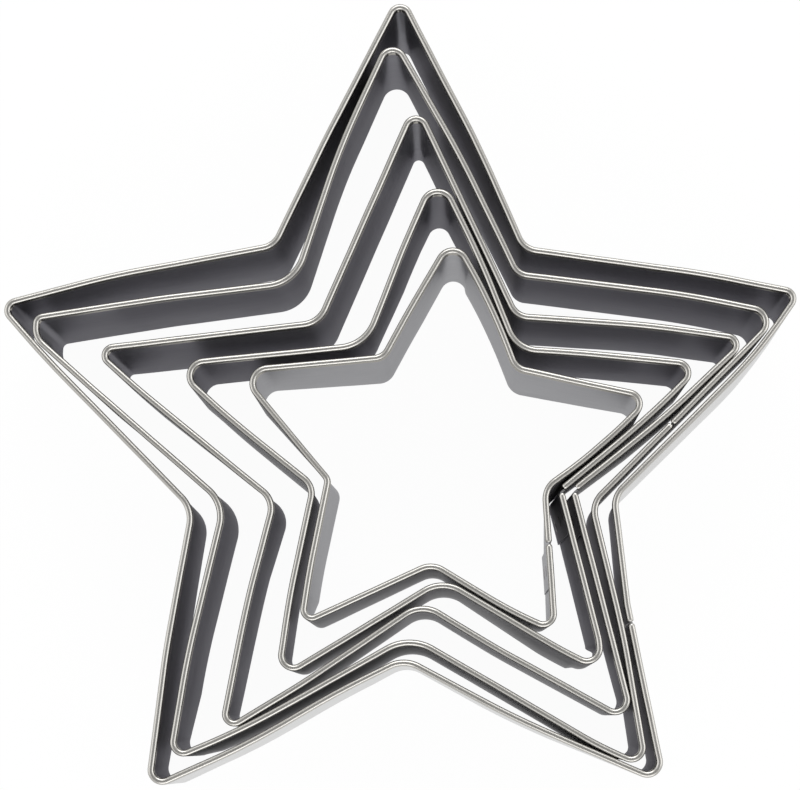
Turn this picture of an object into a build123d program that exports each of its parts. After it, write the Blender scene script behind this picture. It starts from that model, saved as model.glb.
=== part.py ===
from build123d import *
import math
import os

# Nest of five star cookie cutters, one inside the other, standing on their cutting edges.
# Each cutter is a thin steel strip on edge: bent to a star, hemmed along its top, closed by a welded lap.
# The origin is on the ground at the middle of the largest star, +Z is up and +Y points at the top tip.

# Driving sizes
SET_WIDTH = 100.0  # across the side tips of the largest star
CUTTER_HEIGHT = 20.0  # cutting edge to the top of the hem

# The strip and its hem, which is folded inwards over an air gap
STRIP_THICKNESS = 0.25
FOLD_GAP = 0.16  # air between the two layers of the hem
HEM_HEIGHT = 1.1  # from the fold's top to the strip's turned-in edge

# The lap that closes each star: the strip's end is notched clear of the hem and runs on inside the start
LAP_LENGTH = 5.0
SEAM_GAP = 0.03  # between the two layers of the lap
RIM_GAP = 0.45  # between the two ends of the hem on a straight side
CORNER_GAP = 0.42  # from a corner to each end of the hem, where the lap goes round it
CORNER_LAP_RADIUS = 0.6
NOTCH_CLEARANCE = 0.3  # from the lapped end's top up to the turned-in edge

# Spot welds through the lap
WELDS_PER_LAP = 3
WELD_RADIUS = 0.8
WELD_PROUD = 0.04

# Outlines of the hems' middle lines, as shares of the set's width: x, y and the bend's radius.
# The first point is where the strip's ends meet. The bends along the sides are as slight as the real strip's.
LARGEST_OUTLINE_SHARES = (
    (0.288, -0.299, 0),
    (0.3255, -0.4935, 0.016),
    (0.143, -0.415, 1.2),
    (0.007, -0.342, 0.039),
    (-0.078, -0.384, 1.2),
    (-0.182, -0.445, 0.95),
    (-0.308, -0.501, 0.015),
    (-0.288, -0.329, 1.2),
    (-0.258, -0.155, 0.040),
    (-0.444, 0.034, 1.2),
    (-0.507, 0.105, 0.013),
    (-0.365, 0.142, 1.2),
    (-0.158, 0.180, 0.028),
    (-0.094, 0.317, 1.2),
    (0.002, 0.508, 0.013),
    (0.104, 0.304, 1.2),
    (0.159, 0.174, 0.028),
    (0.386, 0.141, 1.2),
    (0.505, 0.116, 0.012),
    (0.4515, 0.0395, 0.65),
    (0.269, -0.141, 0.032),
    (0.280, -0.276, 0.060),
)
LARGE_OUTLINE_SHARES = (
    (0.343, -0.049, 0),
    (0.4815, 0.0895, 0.019),
    (0.366, 0.114, 1.2),
    (0.151, 0.142, 0.023),
    (0.080, 0.294, 1.2),
    (-0.009, 0.455, 0.016),
    (-0.074, 0.310, 1.0),
    (-0.132, 0.133, 0.051),
    (-0.301, 0.113, 1.2),
    (-0.459, 0.089, 0.010),
    (-0.460, 0.063, 0.028),
    (-0.382, -0.007, 1.2),
    (-0.218, -0.149, 0.045),
    (-0.262, -0.339, 1.2),
    (-0.282, -0.466, 0.014),
    (-0.189, -0.427, 0.95),
    (0.014, -0.314, 0.057),
    (0.247, -0.4495, 0.45),
    (0.304, -0.474, 0.015),
    (0.2785, -0.312, 1.2),
    (0.239, -0.148, 0.032),
)
MIDDLE_OUTLINE_SHARES = (
    (0.219, -0.133, 0),
    (0.290, -0.423, 0.016),
    (0.125, -0.332, 1.2),
    (0.029, -0.274, 0.038),
    (-0.121, -0.374, 1.2),
    (-0.219, -0.433, 0.012),
    (-0.187, -0.265, 1.2),
    (-0.156, -0.145, 0.029),
    (-0.340, 0.005, 1.1),
    (-0.387, 0.048, 0.012),
    (-0.101, 0.081, 0.033),
    (0.022, 0.365, 0.014),
    (0.149, 0.088, 0.025),
    (0.316, 0.075, 1.2),
    (0.4385, 0.0575, 0.012),
    (0.333, -0.042, 1.2),
)
SMALL_OUTLINE_SHARES = (
    (0.203, -0.133, 0),
    (0.248, -0.318, 0.049),
    (0.251, -0.357, 0.017),
    (0.199, -0.331, 0.55),
    (0.055, -0.245, 0.043),
    (-0.150, -0.368, 0.016),
    (-0.136, -0.268, 1.2),
    (-0.107, -0.127, 0.025),
    (-0.211, -0.043, 1.2),
    (-0.289, 0.028, 0.019),
    (-0.042, 0.052, 0.049),
    (0.009, 0.186, 1.2),
    (0.049, 0.277, 0.020),
    (0.105, 0.160, 1.2),
    (0.149, 0.046, 0.040),
    (0.228, 0.041, 1.2),
    (0.380, 0.025, 0.014),
    (0.314, -0.041, 1.15),
)
SMALLEST_OUTLINE_SHARES = (
    (0.1875, -0.201, 0),
    (0.194, -0.309, 0.014),
    (0.138, -0.283, 0.55),
    (0.042, -0.225, 0.028),
    (-0.121, -0.299, 0.011),
    (-0.111, -0.231, 1.2),
    (-0.089, -0.119, 0.011),
    (-0.204, 0.020, 0.020),
    (-0.019, 0.036, 0.020),
    (0.013, 0.096, 1.2),
    (0.069, 0.192, 0.019),
    (0.115, 0.109, 0.75),
    (0.148, 0.022, 0.021),
    (0.317, -0.016, 0.015),
    (0.276, -0.057, 0.65),
    (0.226, -0.100, 0.55),
    (0.181, -0.131, 0.027),
)

# Sizes that follow from the ones above, measured outwards from the hem's middle line
HEM_RADIUS = STRIP_THICKNESS + FOLD_GAP / 2
FOLD_GAP_RADIUS = FOLD_GAP / 2
LAP_OFFSET = STRIP_THICKNESS + SEAM_GAP
LAP_HEIGHT = CUTTER_HEIGHT - HEM_HEIGHT - NOTCH_CLEARANCE
UP = Vector(0, 0, 1)


def outline(shares):
    """Return the outline's points, its radii and +1 if it runs clockwise or -1 if not, seen from above."""
    points = [Vector(x, y) * SET_WIDTH for x, y, _ in shares]
    radii = [radius * SET_WIDTH for _, _, radius in shares]
    doubled_area = sum(a.cross(b).Z for a, b in zip(points, points[1:] + points[:1]))
    return points, radii, -math.copysign(1, doubled_area)


def outward(direction, turn):
    """Return the sideways direction that points out of the star from a run of its outline."""
    return UP.cross(direction) * turn


def profile_plane(point, out):
    """Return the plane square to a run, with its X axis out of the star and its Y axis up."""
    return Plane(origin=point, x_dir=out, z_dir=out.cross(UP))


def hemmed_section():
    """Draw the strip's section: a wall whose top is folded over inwards, round at the fold."""
    fold_height = CUTTER_HEIGHT - HEM_RADIUS
    edge_height = CUTTER_HEIGHT - HEM_HEIGHT
    fold_top = (0, CUTTER_HEIGHT)
    gap_top = (0, fold_height + FOLD_GAP_RADIUS)
    lines = [
        Line((HEM_RADIUS, 0), (HEM_RADIUS, fold_height)),
        ThreePointArc((HEM_RADIUS, fold_height), fold_top, (-HEM_RADIUS, fold_height)),
        Line((-HEM_RADIUS, fold_height), (-HEM_RADIUS, edge_height)),
        Line((-HEM_RADIUS, edge_height), (-FOLD_GAP_RADIUS, edge_height)),
        Line((-FOLD_GAP_RADIUS, edge_height), (-FOLD_GAP_RADIUS, fold_height)),
        ThreePointArc((-FOLD_GAP_RADIUS, fold_height), gap_top, (FOLD_GAP_RADIUS, fold_height)),
        Line((FOLD_GAP_RADIUS, fold_height), (FOLD_GAP_RADIUS, 0)),
        Line((FOLD_GAP_RADIUS, 0), (HEM_RADIUS, 0)),
    ]
    return make_face(lines)


def lap_section():
    """Draw the section of the strip's notched end: the wall alone, lower than the turned-in edge."""
    wall_middle = (FOLD_GAP_RADIUS + HEM_RADIUS) / 2
    return Pos(wall_middle, LAP_HEIGHT / 2) * Rectangle(STRIP_THICKNESS, LAP_HEIGHT)


def rounding_cutter(point, direction):
    """Return what rounds the end of a hem in plan: a block round the end, less the last half circle."""
    side = 2 * HEM_RADIUS
    top = Plane(origin=point + UP * CUTTER_HEIGHT, x_dir=direction, z_dir=UP)
    block = Box(side, 2 * side, 2 * HEM_HEIGHT)
    kept_length = Pos(-HEM_RADIUS - side / 2, 0, 0) * block
    kept_end = Pos(-HEM_RADIUS, 0, 0) * Cylinder(HEM_RADIUS, 2 * HEM_HEIGHT)
    return top * (block - kept_length - kept_end)


def side_seam(points, turn):
    """Return the hem's route and the lap's path, where the strip's ends meet on a side of the star."""
    start = points[0]
    along = (points[1] - start).normalized()
    hem_end = start - along * RIM_GAP - outward(along, turn) * LAP_OFFSET
    last_bend = hem_end - along * (hem_end - points[-1]).length
    route = [start, *points[1:-1], last_bend, hem_end]
    return route, Line(hem_end, hem_end + along * (RIM_GAP + LAP_LENGTH))


def corner_seam(points, turn):
    """Return the hem's route and the lap's path, where the strip's ends meet in a corner."""
    corner = points[0]
    along = (points[1] - corner).normalized()
    arriving = (corner - points[-1]).normalized()
    bend = math.radians(arriving.get_angle(along))
    start = corner + along * CORNER_GAP
    hem_end = corner - arriving * CORNER_GAP
    route = [start, *points[1:], hem_end]
    lap_corner = corner + arriving * (LAP_OFFSET / math.sin(bend))
    lap_end = lap_corner + along * LAP_LENGTH
    return route, FilletPolyline(hem_end, lap_corner, lap_end, radius=CORNER_LAP_RADIUS)


def weld_solids(start, along, out):
    """Return the lap's spot welds: short round slugs through both layers, one above the other."""
    lap_middle = start + along * (LAP_LENGTH / 2) + out * (FOLD_GAP_RADIUS - SEAM_GAP / 2)
    length = 2 * STRIP_THICKNESS + SEAM_GAP + 2 * WELD_PROUD
    spacing = LAP_HEIGHT / WELDS_PER_LAP
    welds = []
    for number in range(WELDS_PER_LAP):
        centre = lap_middle + UP * (spacing * (number + 1 / 2))
        welds.append(Plane(origin=centre, z_dir=out) * Cylinder(WELD_RADIUS, length))
    return welds


def cutter(shares, seam):
    """Build one star: its strip, and the spot welds that hold its lap."""
    points, radii, turn = outline(shares)
    route, lap_path = seam(points, turn)
    along = (route[1] - route[0]).normalized()
    arriving = (route[-1] - route[-2]).normalized()
    path = FilletPolyline(*route, radius=radii[1:])
    start_plane = profile_plane(route[0], outward(along, turn))
    strip = sweep(start_plane * hemmed_section(), path=path)
    strip -= rounding_cutter(route[0], -along)
    strip -= rounding_cutter(route[-1], arriving)
    lap_plane = profile_plane(route[-1], outward(arriving, turn))
    strip += sweep(lap_plane * lap_section(), path=lap_path)
    welds = weld_solids(route[0], along, outward(along, turn))
    for weld in welds:
        strip -= weld
    return strip, welds


CUTTERS = (
    ("largest_star", LARGEST_OUTLINE_SHARES, side_seam),
    ("large_star", LARGE_OUTLINE_SHARES, side_seam),
    ("middle_star", MIDDLE_OUTLINE_SHARES, corner_seam),
    ("small_star", SMALL_OUTLINE_SHARES, corner_seam),
    ("smallest_star", SMALLEST_OUTLINE_SHARES, side_seam),
)

os.makedirs("parts", exist_ok=True)
for name, shares, seam in CUTTERS:
    strip, welds = cutter(shares, seam)
    export_step(strip, f"parts/{name}_strip.step")
    export_step(Compound(children=welds), f"parts/{name}_welds.step")
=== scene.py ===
import math

import bmesh
import bpy
from mathutils import Matrix, Vector


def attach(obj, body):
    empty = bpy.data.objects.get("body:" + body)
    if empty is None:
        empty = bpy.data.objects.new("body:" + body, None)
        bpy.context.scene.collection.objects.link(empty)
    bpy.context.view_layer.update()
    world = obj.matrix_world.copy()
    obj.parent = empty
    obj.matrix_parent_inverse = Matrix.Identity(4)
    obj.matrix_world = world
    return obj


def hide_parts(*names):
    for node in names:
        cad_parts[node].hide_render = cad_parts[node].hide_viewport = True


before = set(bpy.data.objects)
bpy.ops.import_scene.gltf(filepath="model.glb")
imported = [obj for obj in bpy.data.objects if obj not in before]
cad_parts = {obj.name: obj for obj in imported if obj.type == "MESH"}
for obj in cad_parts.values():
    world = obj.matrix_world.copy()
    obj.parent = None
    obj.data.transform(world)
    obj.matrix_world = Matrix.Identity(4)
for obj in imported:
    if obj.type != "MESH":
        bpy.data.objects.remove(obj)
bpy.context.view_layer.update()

# The largest star. One stainless strip on edge, 20 mm wide: its top edge is folded over inwards into
# a round hem, the strip is bent to a star round a former, and its ends are lapped on the right leg.
# Its outline is read from the real cutter: no two arms are alike and the sides bow a little.
SET_WIDTH = 0.100  # across the largest star's arms
CUTTER_HEIGHT = 0.020
STRIP_THICKNESS = 0.00025
FOLD_GAP = 0.00016  # the air inside the folded hem
HEM_HEIGHT = 0.0011
HEM_RADIUS = STRIP_THICKNESS + FOLD_GAP / 2
LAP_LENGTH = 0.005
LAP_GAP = 0.00003  # between the two lapped layers
LAP_OFFSET = STRIP_THICKNESS + LAP_GAP
NOTCH_CLEARANCE = 0.0003  # from the turned-in edge down to the lap, which is notched below it
LAP_HEIGHT = CUTTER_HEIGHT - HEM_HEIGHT - NOTCH_CLEARANCE
RIM_GAP = 0.00036  # between the two ends of the hem
JOGGLE_RADIUS = 0.00006  # of the two small bends by which the lap steps inwards
JOGGLE_CLEARANCE = 0.00003  # from each of them to the end of the hem beside it
UP = Vector((0, 0, 1))

# Each row is a bend: its place and its radius as shares of the set's width, and how far the wall's
# foot stands inwards as a share of the cutter's height. The first row is where the ends meet.
LARGEST_OUTLINE_SHARES = (
    (0.288, -0.299, 0, 0),
    (0.3255, -0.4935, 0.016, 0.015),
    (0.143, -0.415, 1.2, 0),
    (0.007, -0.342, 0.039, 0.005),
    (-0.078, -0.384, 1.2, 0),
    (-0.182, -0.445, 0.95, 0),
    (-0.308, -0.501, 0.015, -0.005),
    (-0.288, -0.329, 1.2, 0.020),
    (-0.258, -0.155, 0.040, 0.006),
    (-0.444, 0.034, 1.2, 0),
    (-0.507, 0.105, 0.013, 0),
    (-0.365, 0.142, 1.2, 0.010),
    (-0.158, 0.180, 0.028, 0.025),
    (-0.094, 0.317, 1.2, 0.020),
    (0.002, 0.508, 0.013, 0.020),
    (0.104, 0.304, 1.2, 0.030),
    (0.159, 0.174, 0.028, 0),
    (0.386, 0.141, 1.2, 0),
    (0.505, 0.116, 0.012, 0),
    (0.4515, 0.0395, 0.65, -0.016),
    (0.269, -0.141, 0.032, -0.008),
    (0.280, -0.276, 0.060, 0.005),
)


def outline(shares):
    """Return an outline's points, bend radii and toe-ins, and +1 if it runs clockwise or -1 if not."""
    points = [Vector((x, y, 0)) * SET_WIDTH for x, y, _, _ in shares]
    radii = [radius * SET_WIDTH for _, _, radius, _ in shares]
    toe_ins = [toe_in * CUTTER_HEIGHT for _, _, _, toe_in in shares]
    doubled_area = sum(a.cross(b).z for a, b in zip(points, points[1:] + points[:1]))
    return points, radii, toe_ins, -math.copysign(1, doubled_area)


def side_seam(shares):
    """Return the hem's route and the lap's, as (point, bend radius, toe-in), with the ends on a side.

    The hem's two ends stand in line. In the gap between them the lap steps inwards, then runs on.
    """
    points, radii, toe_ins, turn = outline(shares)
    start = points[0]
    along = (points[1] - start).normalized()
    hem_end = start - along * RIM_GAP
    last_bend = hem_end - along * (hem_end - points[-1]).length
    route = list(zip([start, *points[1:-1], last_bend, hem_end], [*radii, 0], [*toe_ins, toe_ins[0]]))
    step_start = hem_end + along * JOGGLE_CLEARANCE
    step_end = start - along * JOGGLE_CLEARANCE - UP.cross(along) * turn * LAP_OFFSET
    lap_places = ((hem_end, 0), (step_start, JOGGLE_RADIUS), (step_end, JOGGLE_RADIUS),
                  (step_end + along * LAP_LENGTH, 0))
    return route, [(point, radius, toe_ins[0]) for point, radius in lap_places], turn


def new_tree(name, inputs):
    """Start a Geometry Nodes tree with one geometry in and out and the named inputs."""
    tree = bpy.data.node_groups.new(name, "GeometryNodeTree")
    tree.interface.new_socket("Geometry", in_out="INPUT", socket_type="NodeSocketGeometry")
    for label, socket_type in inputs:
        tree.interface.new_socket(label, in_out="INPUT", socket_type=socket_type)
    tree.interface.new_socket("Geometry", in_out="OUTPUT", socket_type="NodeSocketGeometry")
    return tree, tree.nodes.new("NodeGroupInput"), tree.nodes.new("NodeGroupOutput")


def add_node(tree, node_type, links=(), **settings):
    """Add a node with its settings, and link or set its inputs from (input, value) pairs."""
    node = tree.nodes.new(node_type)
    for key, value in settings.items():
        setattr(node, key, value)
    for socket, value in links:
        if isinstance(value, bpy.types.NodeSocket):
            tree.links.new(value, node.inputs[socket])
        else:
            node.inputs[socket].default_value = value
    return node


BEND_FACETS = 24
HAND_BEND_WAVES = (70, 70, 4)  # per metre along X, along Y and up: long and nearly upright
WALL_RIPPLE_WAVES = (150, 150, 60)


def formed_strip_tree():
    """Build the tree that bends a strip: corners are rounded, then the section follows the route."""
    tree, given, result = new_tree("formed_strip", (
        ("Section", "NodeSocketObject"),
        ("Ring Spacing", "NodeSocketFloat"),
        ("Hand Bend", "NodeSocketFloat"),
        ("Wall Ripple", "NodeSocketFloat"),
        ("Inwards", "NodeSocketFloat"),
        ("Height", "NodeSocketFloat"),
        ("Hem Middle", "NodeSocketFloat"),
        ("Hem Reach", "NodeSocketFloat"),
        ("Inner Steel", "NodeSocketMaterial"),
        ("Outer Steel", "NodeSocketMaterial"),
        ("Hem Steel", "NodeSocketMaterial"),
    ))

    # The route, with its bends rounded and even rings along it.
    route = add_node(tree, "GeometryNodeMeshToCurve", [(0, given.outputs["Geometry"])])
    bend = add_node(tree, "GeometryNodeInputNamedAttribute", [("Name", "bend_radius")],
                    data_type="FLOAT")
    rounded = add_node(tree, "GeometryNodeFilletCurve", [
        ("Curve", route.outputs[0]), ("Count", BEND_FACETS), ("Radius", bend.outputs[0]),
        ("Limit Radius", True),
    ], mode="POLY")
    rings = add_node(tree, "GeometryNodeResampleCurve", [
        ("Curve", rounded.outputs[0]), ("Length", given.outputs["Ring Spacing"]),
    ], mode="LENGTH")
    upright = add_node(tree, "GeometryNodeSetCurveNormal", [("Curve", rings.outputs[0])], mode="Z_UP")
    distance = add_node(tree, "GeometryNodeSplineParameter")
    marked = add_node(tree, "GeometryNodeStoreNamedAttribute", [
        ("Geometry", upright.outputs[0]), ("Name", "along"), ("Value", distance.outputs["Length"]),
    ], data_type="FLOAT")
    sideways = add_node(tree, "GeometryNodeInputNormal")
    marked = add_node(tree, "GeometryNodeStoreNamedAttribute", [
        ("Geometry", marked.outputs[0]), ("Name", "sideways"), ("Value", sideways.outputs[0]),
    ], data_type="FLOAT_VECTOR")

    # The section, swept along the route.
    section = add_node(tree, "GeometryNodeObjectInfo", [("Object", given.outputs["Section"])])
    girth = add_node(tree, "GeometryNodeSplineParameter")
    section_marked = add_node(tree, "GeometryNodeStoreNamedAttribute", [
        ("Geometry", section.outputs["Geometry"]), ("Name", "across"),
        ("Value", girth.outputs["Length"]),
    ], data_type="FLOAT")
    strip = add_node(tree, "GeometryNodeCurveToMesh", [
        ("Curve", marked.outputs[0]), ("Profile Curve", section_marked.outputs[0]), ("Fill Caps", True),
    ])

    # The lean: the foot stands inwards by the toe-in, the rim stays.
    direction = add_node(tree, "GeometryNodeInputNamedAttribute", [("Name", "sideways")],
                         data_type="FLOAT_VECTOR")
    place = add_node(tree, "GeometryNodeInputPosition")
    level = add_node(tree, "ShaderNodeSeparateXYZ", [(0, place.outputs[0])])
    toe_in = add_node(tree, "GeometryNodeInputNamedAttribute", [("Name", "toe_in")], data_type="FLOAT")
    depth_share = add_node(tree, "ShaderNodeMapRange", [
        ("Value", level.outputs[2]), ("From Min", given.outputs["Height"]), ("From Max", 0.0),
    ])
    lean = add_node(tree, "ShaderNodeMath", [(0, toe_in.outputs[0]), (1, depth_share.outputs[0])],
                    operation="MULTIPLY")
    lean = add_node(tree, "ShaderNodeMath", [(0, lean.outputs[0]), (1, given.outputs["Inwards"])],
                    operation="MULTIPLY")
    leaning = add_node(tree, "ShaderNodeVectorMath", [
        (0, direction.outputs[0]), ("Scale", lean.outputs[0]),
    ], operation="SCALE")
    toed_in = add_node(tree, "GeometryNodeSetPosition", [
        ("Geometry", strip.outputs[0]), ("Offset", leaning.outputs[0]),
    ])

    # The long hand bends and the finer ripple of the wall.
    shaped = toed_in.outputs[0]
    inwards = add_node(tree, "ShaderNodeVectorMath", [
        (0, direction.outputs[0]), ("Scale", given.outputs["Inwards"]),
    ], operation="SCALE")
    for label, waves in (("Hand Bend", HAND_BEND_WAVES), ("Wall Ripple", WALL_RIPPLE_WAVES)):
        stretched = add_node(tree, "ShaderNodeVectorMath", [(0, place.outputs[0]), (1, waves)],
                             operation="MULTIPLY")
        noise = add_node(tree, "ShaderNodeTexNoise", [
            ("Vector", stretched.outputs[0]), ("Scale", 1.0), ("Detail", 1.0),
        ])
        centred = add_node(tree, "ShaderNodeMath", [(0, noise.outputs[0]), (1, 0.5)],
                           operation="SUBTRACT")
        height = add_node(tree, "ShaderNodeMath", [(0, centred.outputs[0]), (1, given.outputs[label])],
                          operation="MULTIPLY")
        offset = add_node(tree, "ShaderNodeVectorMath", [
            (0, inwards.outputs[0]), ("Scale", height.outputs[0]),
        ], operation="SCALE")
        moved = add_node(tree, "GeometryNodeSetPosition", [
            ("Geometry", shaped), ("Offset", offset.outputs[0]),
        ])
        shaped = moved.outputs[0]

    # The unrolled strip's own coordinates, in metres along it and across it.
    along = add_node(tree, "GeometryNodeInputNamedAttribute", [("Name", "along")], data_type="FLOAT")
    across = add_node(tree, "GeometryNodeInputNamedAttribute", [("Name", "across")],
                      data_type="FLOAT")
    flat = add_node(tree, "ShaderNodeCombineXYZ", [(0, along.outputs[0]), (1, across.outputs[0])])
    unrolled = add_node(tree, "GeometryNodeStoreNamedAttribute", [
        ("Geometry", shaped), ("Name", "strip_uv"), ("Value", flat.outputs[0]),
    ], data_type="FLOAT2", domain="CORNER")

    # The steels, told apart by how far across the strip a face lies, from the cutting edge up.
    real = add_node(tree, "GeometryNodeRealizeInstances", [("Geometry", unrolled.outputs[0])])
    dressed = add_node(tree, "GeometryNodeSetMaterial", [
        ("Geometry", real.outputs[0]), ("Material", given.outputs["Inner Steel"]),
    ])
    outside = add_node(tree, "FunctionNodeCompare", [
        ("A", across.outputs[0]), ("B", given.outputs["Height"]),
    ], operation="LESS_THAN")
    from_middle = add_node(tree, "ShaderNodeMath", [
        (0, across.outputs[0]), (1, given.outputs["Hem Middle"]),
    ], operation="SUBTRACT")
    from_middle = add_node(tree, "ShaderNodeMath", [(0, from_middle.outputs[0])],
                           operation="ABSOLUTE")
    on_hem = add_node(tree, "FunctionNodeCompare", [
        ("A", from_middle.outputs[0]), ("B", given.outputs["Hem Reach"]),
    ], operation="LESS_THAN")
    for selection, label in ((outside, "Outer Steel"), (on_hem, "Hem Steel")):
        dressed = add_node(tree, "GeometryNodeSetMaterial", [
            ("Geometry", dressed.outputs[0]), ("Selection", selection.outputs[0]),
            ("Material", given.outputs[label]),
        ])
    tree.links.new(dressed.outputs[0], result.inputs[0])
    return tree


def modifier_input(tree, label):
    """Return the identifier of a tree's named input."""
    return next(item.identifier for item in tree.interface.items_tree
                if item.in_out == "INPUT" and item.name == label)


def bake(name, source, tree, values):
    """Run a tree over an object once and return the result as a plain mesh."""
    modifier = source.modifiers.new(name, "NODES")
    modifier.node_group = tree
    for label, value in values.items():
        modifier[modifier_input(tree, label)] = value
    evaluated = source.evaluated_get(bpy.context.evaluated_depsgraph_get())
    mesh = bpy.data.meshes.new_from_object(evaluated)
    mesh.name = name
    source.modifiers.remove(modifier)
    return mesh


def section_curve(name, places, turn):
    """Draw a closed section from (outwards, up) places, as the sweep wants it for this outline."""
    curve = bpy.data.curves.new(name, "CURVE")
    curve.dimensions = "3D"
    spline = curve.splines.new("POLY")
    spline.points.add(len(places) - 1)
    for point, (outwards, up) in zip(spline.points, places):
        point.co = (-outwards * turn, -up, 0, 1)
    spline.use_cyclic_u = True
    return bpy.data.objects.new(name, curve)


def steps(first, last, count):
    """Return evenly spaced values from first to last."""
    return [first + (last - first) * number / count for number in range(count + 1)]


WALL_STEPS = 6
FOLD_STEPS = 14
FOLD_CROWN_SHARE = 0.80  # how tall the pressed fold is for its width: a round one would be 1
FOLD_SPRING = 0.00013  # how far the turned-in edge has sprung open again


def hemmed_section():
    """Return the places of the strip's section: wall, pressed round fold and turned-in edge."""
    fold_radius = HEM_RADIUS + FOLD_SPRING / 2
    middle = -FOLD_SPRING / 2
    crown = fold_radius * FOLD_CROWN_SHARE
    fold_height = CUTTER_HEIGHT - crown
    edge_height = CUTTER_HEIGHT - HEM_HEIGHT
    gap = FOLD_GAP / 2
    places = [(HEM_RADIUS, z) for z in steps(0, fold_height, WALL_STEPS)]
    for angle in steps(0, math.pi, FOLD_STEPS)[1:]:
        places.append((middle + fold_radius * math.cos(angle), fold_height + crown * math.sin(angle)))
    edge_outside = -HEM_RADIUS - FOLD_SPRING
    edge_inside = edge_outside + STRIP_THICKNESS
    places += [(edge_outside, edge_height), (edge_inside, edge_height), (edge_inside, fold_height)]
    places += [(middle, fold_height + gap), (gap, fold_height)]
    places += [(gap, z) for z in steps(edge_height, 0, WALL_STEPS)]
    return places


def lap_section():
    """Return the places of the notched end's section: the wall alone."""
    gap = FOLD_GAP / 2
    outer = [(HEM_RADIUS, z) for z in steps(0, LAP_HEIGHT, WALL_STEPS)]
    return outer + [(gap, z) for z in steps(LAP_HEIGHT, 0, WALL_STEPS)]


def route_object(name, route):
    """Return a chain of edges through a route's points that carries each bend's radius and toe-in."""
    mesh = bpy.data.meshes.new(name)
    edges = [(number, number + 1) for number in range(len(route) - 1)]
    mesh.from_pydata([point for point, _, _ in route], edges, [])
    radii = mesh.attributes.new("bend_radius", "FLOAT", "POINT")
    radii.data.foreach_set("value", [radius for _, radius, _ in route])
    toe_ins = mesh.attributes.new("toe_in", "FLOAT", "POINT")
    toe_ins.data.foreach_set("value", [toe_in for _, _, toe_in in route])
    chain = bpy.data.objects.new(name, mesh)
    bpy.context.collection.objects.link(chain)
    return chain


FORMED_STRIP = formed_strip_tree()
RING_SPACING = 0.00018
HAND_BEND = 0.00014
WALL_RIPPLE = 0.00005
HEM_REACH = 0.00100  # half the length, measured over the fold, that looks like a pressed hem
HEM_START_DEPTH = 0.00030  # how far below the top it starts, on the outer face
HEM_MIDDLE = CUTTER_HEIGHT - HEM_START_DEPTH + HEM_REACH


def swept(name, route, places, turn, steels, hem_reach=0.0):
    """Sweep a section along a route and return the mesh."""
    chain = route_object(name + "_route", route)
    section = section_curve(name + "_section", places, turn)
    bpy.context.collection.objects.link(section)
    mesh = bake(name, chain, FORMED_STRIP, {
        "Section": section, "Ring Spacing": RING_SPACING, "Hand Bend": HAND_BEND,
        "Wall Ripple": WALL_RIPPLE, "Inwards": turn, "Height": CUTTER_HEIGHT,
        "Hem Middle": HEM_MIDDLE, "Hem Reach": hem_reach,
        "Inner Steel": steels[0], "Outer Steel": steels[1], "Hem Steel": HEM_STEEL,
    })
    bpy.data.objects.remove(chain)
    bpy.data.objects.remove(section)
    return mesh


END_ROUNDING = 0.00018
END_NARROWING_SHARE = 0.2
END_DROP = 0.00008
END_REACH = 3 * HEM_RADIUS  # how far from the route's line the end's own corners can lie
HEM_FOOT = CUTTER_HEIGHT - 1.01 * HEM_HEIGHT  # a hair below the turned-in edge


def round_rim_ends(mesh, route):
    """Round off the hem's corners a little where the fold was snipped and filed at the strip's ends."""
    ends = ((route[0][0], route[1][0]), (route[-1][0], route[-2][0]))
    for vertex in mesh.vertices:
        if vertex.co.z < HEM_FOOT:
            continue
        for end, inner in ends:
            inwards = (inner - end).normalized()
            flat = Vector((vertex.co.x, vertex.co.y, 0))
            depth = (flat - end).dot(inwards)
            sideways = flat - end - inwards * depth
            if abs(depth) > END_ROUNDING / 2 or sideways.length > END_REACH:
                continue
            narrowed = sideways * END_NARROWING_SHARE
            vertex.co.x -= narrowed.x
            vertex.co.y -= narrowed.y
            if vertex.co.z > CUTTER_HEIGHT - HEM_RADIUS:
                vertex.co.z -= END_DROP


CREASE_ANGLE = math.radians(40)


def build_strip(name, shares, seam, *steels):
    """Build one star's strip with its lapped end, in the steels of its inner and its outer face."""
    route, lap_route, turn = seam(shares)
    hemmed = swept(name, route, hemmed_section(), turn, steels, HEM_REACH)
    round_rim_ends(hemmed, route)
    lap = swept(name + "_lap", lap_route, lap_section(), turn, steels)
    shell = bmesh.new()
    shell.from_mesh(hemmed)
    shell.from_mesh(lap)
    bmesh.ops.recalc_face_normals(shell, faces=shell.faces)
    shell.to_mesh(hemmed)
    shell.free()
    bpy.data.meshes.remove(lap)
    hemmed.shade_smooth()
    hemmed.set_sharp_from_angle(angle=CREASE_ANGLE)
    piece = bpy.data.objects.new(name + "_steel", hemmed)
    bpy.context.collection.objects.link(piece)
    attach(piece, name)
    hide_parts(name + "_strip")


def shader_group(name, inputs, outputs):
    """Start a shader node group with named float inputs and outputs."""
    group = bpy.data.node_groups.new(name, "ShaderNodeTree")
    for label, value in inputs:
        socket = group.interface.new_socket(label, in_out="INPUT", socket_type="NodeSocketFloat")
        socket.default_value = value
    for label in outputs:
        group.interface.new_socket(label, in_out="OUTPUT", socket_type="NodeSocketFloat")
    return group, group.nodes.new("NodeGroupInput"), group.nodes.new("NodeGroupOutput")


STREAK_RANGE = (0.35, 0.65)


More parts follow.
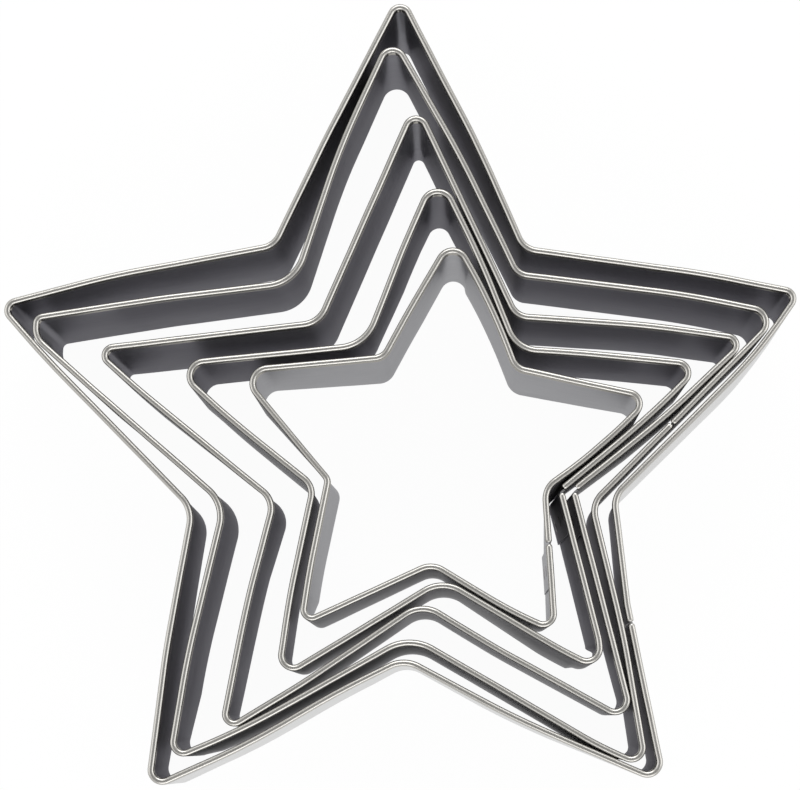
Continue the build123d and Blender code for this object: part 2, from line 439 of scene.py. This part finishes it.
def rolled_grain_group():
    """Fine lines along the strip from the rolling mill, as a height and as a colour mask."""
    group, given, result = shader_group(
        "rolled_grain", (("Lines per metre", 9000.0), ("Stretch", 60.0)), ("Height", "Streaks"))
    unrolled = add_node(group, "ShaderNodeUVMap", uv_map="strip_uv")
    split = add_node(group, "ShaderNodeSeparateXYZ", [(0, unrolled.outputs[0])])
    drawn_out = add_node(group, "ShaderNodeMath", [
        (0, split.outputs[0]), (1, given.outputs["Stretch"]),
    ], operation="DIVIDE")
    lined = add_node(group, "ShaderNodeCombineXYZ", [(0, drawn_out.outputs[0]), (1, split.outputs[1])])
    noise = add_node(group, "ShaderNodeTexNoise", [
        ("Vector", lined.outputs[0]), ("Scale", given.outputs["Lines per metre"]), ("Detail", 3.0),
    ])
    streaks = add_node(group, "ShaderNodeMapRange", [
        ("Value", noise.outputs[0]), ("From Min", STREAK_RANGE[0]), ("From Max", STREAK_RANGE[1]),
    ])
    group.links.new(noise.outputs[0], result.inputs["Height"])
    group.links.new(streaks.outputs[0], result.inputs["Streaks"])
    return group


def handling_group():
    """Faint cloudy marks from handling and washing, read in the object's own place."""
    group, given, result = shader_group("handling_marks", (("Marks per metre", 120.0),), ("Clouds",))
    place = add_node(group, "ShaderNodeTexCoord")
    clouds = add_node(group, "ShaderNodeTexNoise", [
        ("Vector", place.outputs["Object"]), ("Scale", given.outputs["Marks per metre"]),
        ("Detail", 4.0),
    ])
    group.links.new(clouds.outputs[0], result.inputs["Clouds"])
    return group


ROLLED_GRAIN = rolled_grain_group()
HANDLING_MARKS = handling_group()


def group_node(tree, group, **values):
    """Place a shader group in a material with its own values."""
    node = tree.nodes.new("ShaderNodeGroup")
    node.node_tree = group
    for label, value in values.items():
        node.inputs[label.replace("_", " ")].default_value = value
    return node


def mixed_colour(tree, mask, first, second):
    """Mix two colours by a mask, on the sockets that a Mix node keeps for colours."""
    mix = add_node(tree, "ShaderNodeMix", data_type="RGBA")
    tree.links.new(mask, mix.inputs[0])
    mix.inputs[6].default_value = (*first, 1)
    mix.inputs[7].default_value = (*second, 1)
    return mix.outputs[2]


GRAIN_DEPTH = 0.00002
GRAIN_STRENGTH = 0.12


def strip_steel(name, colour, streak_colour, grazing_tint, roughness_range, metallic=1.0):
    """Rolled stainless with lengthwise grain and faint marks of handling.

    The grazing tint sets how much of the pale room a wall seen nearly edge-on throws back. The stars'
    faces take lighter and darker copies, with other colours and tints, as painted shade and painted
    reflection.
    """
    material = bpy.data.materials.new(name)
    material.use_nodes = True
    tree = material.node_tree
    shader = tree.nodes["Principled BSDF"]
    grain = group_node(tree, ROLLED_GRAIN)
    marks = group_node(tree, HANDLING_MARKS)
    streaked = mixed_colour(tree, grain.outputs["Streaks"], colour, streak_colour)
    tree.links.new(streaked, shader.inputs["Base Color"])
    roughness = add_node(tree, "ShaderNodeMapRange", [
        ("Value", marks.outputs["Clouds"]),
        ("To Min", roughness_range[0]), ("To Max", roughness_range[1]),
    ])
    tree.links.new(roughness.outputs[0], shader.inputs["Roughness"])
    bump = add_node(tree, "ShaderNodeBump", [
        ("Strength", GRAIN_STRENGTH), ("Distance", GRAIN_DEPTH), ("Height", grain.outputs["Height"]),
    ])
    tree.links.new(bump.outputs[0], shader.inputs["Normal"])

    # What isn't metal in the finish is a dull film, with no highlight of its own.
    shader.inputs["Metallic"].default_value = metallic
    shader.inputs["Specular IOR Level"].default_value = 0.0
    shader.inputs["Specular Tint"].default_value = (*grazing_tint, 1)
    return material


ROLLED_ROUGHNESS = (0.26, 0.42)
PRESSED_ROUGHNESS = (0.20, 0.30)
FILMED_METALLIC = 0.82  # a thin dull film on the faces inside the nest scatters some of the light

# The inner faces of the four outer stars: the one steel, darkened at grazing angles as painted shade
# for the shaded floor and walls inside the nest.
INNER_SHADED_STEEL = strip_steel(
    "inner_face_painted_shade", colour=(0.48, 0.48, 0.50), streak_colour=(0.41, 0.41, 0.43),
    grazing_tint=(0.13, 0.125, 0.137), roughness_range=ROLLED_ROUGHNESS, metallic=FILMED_METALLIC)
# The largest star's outer face: the one steel, lightened as a painted reflection of the open white
# table and room.
OUTER_LIT_STEEL = strip_steel(
    "outer_face_painted_reflection", colour=(0.62, 0.62, 0.615), streak_colour=(0.54, 0.54, 0.535),
    grazing_tint=(1.0, 1.0, 1.0), roughness_range=ROLLED_ROUGHNESS)
HEM_STEEL = strip_steel(
    "pressed_hem", colour=(0.54, 0.525, 0.495), streak_colour=(0.46, 0.45, 0.425),
    grazing_tint=(0.50, 0.49, 0.465), roughness_range=PRESSED_ROUGHNESS)
build_strip("largest_star", LARGEST_OUTLINE_SHARES, side_seam, INNER_SHADED_STEEL, OUTER_LIT_STEEL)

# The large star. The same strip, bent a few millimetres smaller so that it drops inside the largest;
# its ends are lapped on the lower side of the right arm. Its outer face is the one steel in a soft grey
# of painted shade, as on all the stars that stand inside another.
LARGE_OUTLINE_SHARES = (
    (0.343, -0.049, 0, 0.016),
    (0.4815, 0.0895, 0.019, 0.008),
    (0.366, 0.114, 1.2, 0.005),
    (0.151, 0.142, 0.023, 0.002),
    (0.080, 0.294, 1.2, 0.010),
    (-0.009, 0.455, 0.016, -0.010),
    (-0.074, 0.310, 1.0, -0.005),
    (-0.132, 0.133, 0.051, 0),
    (-0.301, 0.113, 1.2, 0.010),
    (-0.459, 0.089, 0.010, 0.015),
    (-0.460, 0.063, 0.028, 0.015),
    (-0.382, -0.007, 1.2, 0.005),
    (-0.218, -0.149, 0.045, 0.030),
    (-0.262, -0.339, 1.2, 0.025),
    (-0.282, -0.466, 0.014, 0),
    (-0.189, -0.427, 0.95, -0.020),
    (0.014, -0.314, 0.057, -0.015),
    (0.247, -0.4495, 0.45, -0.015),
    (0.304, -0.474, 0.015, 0.030),
    (0.2785, -0.312, 1.2, 0.020),
    (0.239, -0.148, 0.032, 0.010),
)
# The outer faces of the nested stars: the one steel, greyed as painted shade from the walls and shaded
# floor they face.
NESTED_OUTER_SHADED_STEEL = strip_steel(
    "nested_outer_face_painted_shade", colour=(0.50, 0.50, 0.51), streak_colour=(0.43, 0.43, 0.44),
    grazing_tint=(0.34, 0.335, 0.34), roughness_range=ROLLED_ROUGHNESS, metallic=FILMED_METALLIC)
build_strip("large_star", LARGE_OUTLINE_SHARES, side_seam, INNER_SHADED_STEEL, NESTED_OUTER_SHADED_STEEL)

# The middle star. Here the strip's ends meet in the inner corner between right arm and right leg:
# the arm's end is bent on round the corner and lapped down the inside of the leg.
CORNER_GAP = 0.00042
CORNER_LAP_RADIUS = 0.0006
MIDDLE_OUTLINE_SHARES = (
    (0.219, -0.133, 0, 0.030),
    (0.290, -0.423, 0.016, 0.010),
    (0.125, -0.332, 1.2, 0.005),
    (0.029, -0.274, 0.038, 0.005),
    (-0.121, -0.374, 1.2, 0),
    (-0.219, -0.433, 0.012, 0.005),
    (-0.187, -0.265, 1.2, 0.015),
    (-0.156, -0.145, 0.029, 0.030),
    (-0.340, 0.005, 1.1, 0.015),
    (-0.387, 0.048, 0.012, 0.030),
    (-0.101, 0.081, 0.033, 0.045),
    (0.022, 0.365, 0.014, 0.035),
    (0.149, 0.088, 0.025, 0.020),
    (0.316, 0.075, 1.2, 0.015),
    (0.4385, 0.0575, 0.012, 0.015),
    (0.333, -0.042, 1.2, 0.015),
)


def corner_seam(shares):
    """Return what side_seam does, for ends that meet in a corner: the lap is bent on round it."""
    points, radii, toe_ins, turn = outline(shares)
    corner = points[0]
    along = (points[1] - corner).normalized()
    arriving = (corner - points[-1]).normalized()
    hem_end = corner - arriving * CORNER_GAP
    hem_start = corner + along * CORNER_GAP
    route = list(zip([hem_start, *points[1:], hem_end], [*radii, 0], [*toe_ins, toe_ins[0]]))
    lap_corner = corner + arriving * (LAP_OFFSET / math.sin(arriving.angle(along)))
    lap_end = lap_corner + along * LAP_LENGTH
    lap_places = ((hem_end, 0), (lap_corner, CORNER_LAP_RADIUS), (lap_end, 0))
    return route, [(point, radius, toe_ins[0]) for point, radius in lap_places], turn


build_strip("middle_star", MIDDLE_OUTLINE_SHARES, corner_seam, INNER_SHADED_STEEL, NESTED_OUTER_SHADED_STEEL)

# The small star. It is lapped in the same corner as the middle one, and its right leg's wall leans in
# at the foot, as a strip does that was bent a little when it was pulled off its former.
SMALL_OUTLINE_SHARES = (
    (0.203, -0.133, 0, 0.037),
    (0.248, -0.318, 0.049, 0.043),
    (0.251, -0.357, 0.017, 0),
    (0.199, -0.331, 0.55, -0.025),
    (0.055, -0.245, 0.043, 0.005),
    (-0.150, -0.368, 0.016, 0.005),
    (-0.136, -0.268, 1.2, 0.005),
    (-0.107, -0.127, 0.025, 0.005),
    (-0.211, -0.043, 1.2, 0.010),
    (-0.289, 0.028, 0.019, 0.005),
    (-0.042, 0.052, 0.049, 0),
    (0.009, 0.186, 1.2, 0.025),
    (0.049, 0.277, 0.020, 0.030),
    (0.105, 0.160, 1.2, 0.025),
    (0.149, 0.046, 0.040, 0.020),
    (0.228, 0.041, 1.2, 0.010),
    (0.380, 0.025, 0.014, 0.010),
    (0.314, -0.041, 1.15, 0.015),
)
build_strip("small_star", SMALL_OUTLINE_SHARES, corner_seam, INNER_SHADED_STEEL, NESTED_OUTER_SHADED_STEEL)

# The smallest star. The same strip again, with its lap nearly half way down the right leg. Nothing
# stands inside it to shade it, so its inner face is paler and the board shows through.
SMALLEST_OUTLINE_SHARES = (
    (0.1875, -0.201, 0, 0.005),
    (0.194, -0.309, 0.014, 0.020),
    (0.138, -0.283, 0.55, 0),
    (0.042, -0.225, 0.028, 0.015),
    (-0.121, -0.299, 0.011, 0.005),
    (-0.111, -0.231, 1.2, 0.030),
    (-0.089, -0.119, 0.011, 0.035),
    (-0.204, 0.020, 0.020, 0.005),
    (-0.019, 0.036, 0.020, 0.020),
    (0.013, 0.096, 1.2, 0.020),
    (0.069, 0.192, 0.019, 0.013),
    (0.115, 0.109, 0.75, 0.025),
    (0.148, 0.022, 0.021, 0.025),
    (0.317, -0.016, 0.015, 0),
    (0.276, -0.057, 0.65, 0),
    (0.226, -0.100, 0.55, -0.005),
    (0.181, -0.131, 0.027, -0.014),
)
# Its inner face: the one steel, lightened as painted light for the open, unshaded floor inside it.
OPEN_INNER_LIT_STEEL = strip_steel(
    "open_inner_face_painted_light", colour=(0.58, 0.58, 0.59), streak_colour=(0.50, 0.50, 0.51),
    grazing_tint=(0.41, 0.41, 0.42), roughness_range=ROLLED_ROUGHNESS)
build_strip("smallest_star", SMALLEST_OUTLINE_SHARES, side_seam, OPEN_INNER_LIT_STEEL, NESTED_OUTER_SHADED_STEEL)

# The spot welds. Each lap is pinched three times between copper electrodes, which fuses the two
# layers and leaves a shallow round dimple, darkened a little by the heat, on both faces.
WELDS_PER_LAP = 3
WELD_RADIUS = 0.0008
WELD_PROUD = 0.00004
# Each ring from the middle out: its radius as a share of the weld's, its height as one of WELD_PROUD.
WELD_RING_SHARES = ((0, 0.25), (0.35, 0.3), (0.6, 0.55), (0.75, 1.0), (0.88, 0.85), (1, -0.5))
WELD_SIDES = 32


def weld_dimple():
    """Return the mesh of one dimple: a dished button with a raised ring, its axis along +Z."""
    button = bmesh.new()
    rings = []
    for radius_share, height_share in WELD_RING_SHARES[1:]:
        ring = []
        for number in range(WELD_SIDES):
            angle = 2 * math.pi * number / WELD_SIDES
            radius = WELD_RADIUS * radius_share
            place = (radius * math.cos(angle), radius * math.sin(angle), WELD_PROUD * height_share)
            ring.append(button.verts.new(place))
        rings.append(ring)
    middle = button.verts.new((0, 0, WELD_PROUD * WELD_RING_SHARES[0][1]))
    back = button.verts.new((0, 0, -WELD_PROUD))
    for number in range(WELD_SIDES):
        after = (number + 1) % WELD_SIDES
        button.faces.new((middle, rings[0][number], rings[0][after]))
        for inner, outer in zip(rings, rings[1:]):
            button.faces.new((inner[number], outer[number], outer[after], inner[after]))
        button.faces.new((back, rings[-1][after], rings[-1][number]))
    bmesh.ops.recalc_face_normals(button, faces=button.faces)
    mesh = bpy.data.meshes.new("weld_dimple")
    button.to_mesh(mesh)
    button.free()
    return mesh


def weld_row_tree():
    """Build the tree that sets a dimple on every place it is given, facing the place's own way."""
    tree, given, result = new_tree("weld_row", (
        ("Dimple", "NodeSocketObject"),
        ("Steel", "NodeSocketMaterial"),
    ))
    dimple = add_node(tree, "GeometryNodeObjectInfo", [("Object", given.outputs["Dimple"])])
    facing = add_node(tree, "GeometryNodeInputNamedAttribute", [("Name", "facing")],
                      data_type="FLOAT_VECTOR")
    turned = add_node(tree, "FunctionNodeAlignRotationToVector", [("Vector", facing.outputs[0])],
                      axis="Z")
    placed = add_node(tree, "GeometryNodeInstanceOnPoints", [
        ("Points", given.outputs["Geometry"]), ("Instance", dimple.outputs["Geometry"]),
        ("Rotation", turned.outputs[0]),
    ])
    real = add_node(tree, "GeometryNodeRealizeInstances", [("Geometry", placed.outputs[0])])
    dressed = add_node(tree, "GeometryNodeSetMaterial", [
        ("Geometry", real.outputs[0]), ("Material", given.outputs["Steel"]),
    ])
    tree.links.new(dressed.outputs[0], result.inputs[0])
    return tree


WELD_COLOUR = (0.30, 0.29, 0.30)
WELD_HEAT_COLOUR = (0.20, 0.17, 0.16)
WELD_ROUGHNESS = (0.3, 0.5)
WELD_MARKS_PER_METRE = 1500.0


def weld_steel():
    """Weld-pressed stainless: duller than the strip, with a cloudy heat tint."""
    material = bpy.data.materials.new("spot_weld_steel")
    material.use_nodes = True
    tree = material.node_tree
    shader = tree.nodes["Principled BSDF"]
    marks = group_node(tree, HANDLING_MARKS, Marks_per_metre=WELD_MARKS_PER_METRE)
    heat = mixed_colour(tree, marks.outputs["Clouds"], WELD_COLOUR, WELD_HEAT_COLOUR)
    tree.links.new(heat, shader.inputs["Base Color"])
    roughness = add_node(tree, "ShaderNodeMapRange", [
        ("Value", marks.outputs["Clouds"]),
        ("To Min", WELD_ROUGHNESS[0]), ("To Max", WELD_ROUGHNESS[1]),
    ])
    tree.links.new(roughness.outputs[0], shader.inputs["Roughness"])
    shader.inputs["Metallic"].default_value = 1.0
    return material


WELD_STEEL = weld_steel()
WELD_ROW = weld_row_tree()


def build_welds(name, shares, seam):
    """Set a star's row of dimples on both faces of its lap."""
    route, _, turn = seam(shares)
    start, _, toe_in = route[0]
    along = (route[1][0] - start).normalized()
    out = UP.cross(along) * turn
    spacing = LAP_HEIGHT / WELDS_PER_LAP
    outer_face = HEM_RADIUS
    inner_face = FOLD_GAP / 2 - LAP_OFFSET
    places = []
    facings = []
    for number in range(WELDS_PER_LAP):
        level = spacing * (number + 0.5)
        lean = out * (toe_in * (1 - level / CUTTER_HEIGHT))
        middle = start + along * (LAP_LENGTH / 2) + UP * level - lean
        places += [middle + out * outer_face, middle + out * inner_face]
        facings += [*out, *-out]
    mesh = bpy.data.meshes.new(name + "_weld_places")
    mesh.from_pydata(places, [], [])
    mesh.attributes.new("facing", "FLOAT_VECTOR", "POINT").data.foreach_set("vector", facings)
    source = bpy.data.objects.new(name + "_weld_places", mesh)
    dimple = bpy.data.objects.new("weld_dimple", weld_dimple())
    bpy.context.collection.objects.link(source)
    bpy.context.collection.objects.link(dimple)
    marks = bake(name + "_weld_marks", source, WELD_ROW, {"Dimple": dimple, "Steel": WELD_STEEL})
    marks.shade_smooth()
    bpy.data.objects.remove(source)
    bpy.data.objects.remove(dimple)
    piece = bpy.data.objects.new(name + "_weld_marks", marks)
    bpy.context.collection.objects.link(piece)
    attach(piece, name)
    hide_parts(name + "_welds")


build_welds("largest_star", LARGEST_OUTLINE_SHARES, side_seam)
build_welds("large_star", LARGE_OUTLINE_SHARES, side_seam)
build_welds("middle_star", MIDDLE_OUTLINE_SHARES, corner_seam)
build_welds("small_star", SMALL_OUTLINE_SHARES, corner_seam)
build_welds("smallest_star", SMALLEST_OUTLINE_SHARES, side_seam)

# The table under the nest. A plain white board, lit so that it reads as the photograph's white ground
# and still takes a pale shadow.
BOARD_SIZE = 6.0
BOARD_DROP = 0.00002  # a hair below the cutting edges
BOARD_PAINT = (0.9, 0.9, 0.9, 1)
BOARD_GLOW_SHARE = 0.96


def white_board():
    """White paint that looks white to the eye and in reflections."""
    material = bpy.data.materials.new("white_board")
    material.use_nodes = True
    tree = material.node_tree
    tree.nodes.remove(tree.nodes["Principled BSDF"])
    paint = add_node(tree, "ShaderNodeBsdfDiffuse", [("Color", BOARD_PAINT)])
    glow = add_node(tree, "ShaderNodeEmission", [("Color", (1, 1, 1, 1)), ("Strength", 1.0)])
    rays = add_node(tree, "ShaderNodeLightPath")
    seen = add_node(tree, "ShaderNodeMath", [
        (0, rays.outputs["Is Camera Ray"]), (1, rays.outputs["Is Glossy Ray"]),
    ], operation="MAXIMUM")
    seen = add_node(tree, "ShaderNodeMath", [
        (0, seen.outputs[0]), (1, rays.outputs["Is Transmission Ray"]),
    ], operation="MAXIMUM")
    share = add_node(tree, "ShaderNodeMath", [(0, seen.outputs[0]), (1, BOARD_GLOW_SHARE)],
                     operation="MULTIPLY")
    mix = add_node(tree, "ShaderNodeMixShader", [
        (0, share.outputs[0]), (1, paint.outputs[0]), (2, glow.outputs[0]),
    ])
    tree.links.new(mix.outputs[0], tree.nodes["Material Output"].inputs["Surface"])
    return material


half = BOARD_SIZE / 2
board_corners = [(-half, -half, 0), (half, -half, 0), (half, half, 0), (-half, half, 0)]
board_mesh = bpy.data.meshes.new("board")
board_mesh.from_pydata(board_corners, [], [(0, 1, 2, 3)])
board_mesh.materials.append(white_board())
board = bpy.data.objects.new("board", board_mesh)
bpy.context.collection.objects.link(board)
board.location.z = -BOARD_DROP

# The light. Four soft boxes stand round the table and an even pale room lies beyond them.
NEST_MIDDLE = Vector((0, 0, 0))


def soft_box(name, place, size, power):
    """Add a large soft lamp at a place, turned to face the nest."""
    lamp = bpy.data.lights.new(name, "AREA")
    lamp.shape = "RECTANGLE"
    lamp.size, lamp.size_y = size
    lamp.energy = power
    box = bpy.data.objects.new(name, lamp)
    bpy.context.collection.objects.link(box)
    box.location = place
    box.rotation_euler = (NEST_MIDDLE - Vector(place)).to_track_quat("-Z", "Y").to_euler()


soft_box("left_soft_box", place=(-0.9, 0.1, 0.7), size=(0.9, 0.9), power=2)
soft_box("right_soft_box", place=(0.9, 0.1, 0.7), size=(0.9, 0.9), power=3)
soft_box("back_soft_box", place=(0, 0.9, 0.8), size=(0.9, 0.6), power=5)
soft_box("front_soft_box", place=(0.1, -0.9, 0.7), size=(0.9, 0.6), power=3)

ROOM_STRENGTH = 0.85
CEILING_GREY = 0.5
# The sines of the elevations between which the pale walls give way to the dim ceiling.
CEILING_FROM = 0.70
CEILING_TO = 0.90


def pale_room():
    """A pale room with a dimmer ceiling."""
    world = bpy.data.worlds.new("room")
    world.use_nodes = True
    tree = world.node_tree
    place = add_node(tree, "ShaderNodeTexCoord")
    upward = add_node(tree, "ShaderNodeSeparateXYZ", [(0, place.outputs["Generated"])])
    grey = add_node(tree, "ShaderNodeMapRange", [
        ("Value", upward.outputs[2]), ("From Min", CEILING_FROM), ("From Max", CEILING_TO),
        ("To Min", 1.0), ("To Max", CEILING_GREY),
    ])
    tree.links.new(grey.outputs[0], tree.nodes["Background"].inputs["Color"])
    tree.nodes["Background"].inputs["Strength"].default_value = ROOM_STRENGTH
    return world


bpy.context.scene.world = pale_room()
bpy.context.scene.view_settings.view_transform = "Standard"

# The camera. It stands over the near edge of the nest and looks nearly straight down, tipped by eight
# or nine degrees, as the common vanishing point of the upright walls in the photograph tells.
PICTURE_WIDTH = 800
FOCAL_PIXELS = 2350
STRAIGHT_DOWN_PIXELS = (62, 347)  # that point, right of and below the middle of the photograph
RIM_TO_CAMERA = 0.29112  # in height
CAMERA_PLACE = (0.0078, -0.0443, RIM_TO_CAMERA + CUTTER_HEIGHT)
SENSOR_WIDTH = 36
NEAREST_SEEN = 0.01

# The world's axes as the picture sees them: x to its right, y down it, z into it.
down = Vector((*STRAIGHT_DOWN_PIXELS, FOCAL_PIXELS)).normalized()
right = (Vector((1, 0, 0)) - down * down.x).normalized()
ahead = (-down).cross(right)
picture_to_world = Matrix((right, ahead, -down))
camera_to_picture = Matrix(((1, 0, 0), (0, -1, 0), (0, 0, -1)))
lens = bpy.data.cameras.new("camera")
lens.sensor_width = SENSOR_WIDTH
lens.lens = SENSOR_WIDTH * FOCAL_PIXELS / PICTURE_WIDTH
lens.clip_start = NEAREST_SEEN
camera = bpy.data.objects.new("camera", lens)
bpy.context.collection.objects.link(camera)
camera_turn = (picture_to_world @ camera_to_picture).to_4x4()
camera.matrix_world = Matrix.Translation(CAMERA_PLACE) @ camera_turn
bpy.context.scene.camera = camera
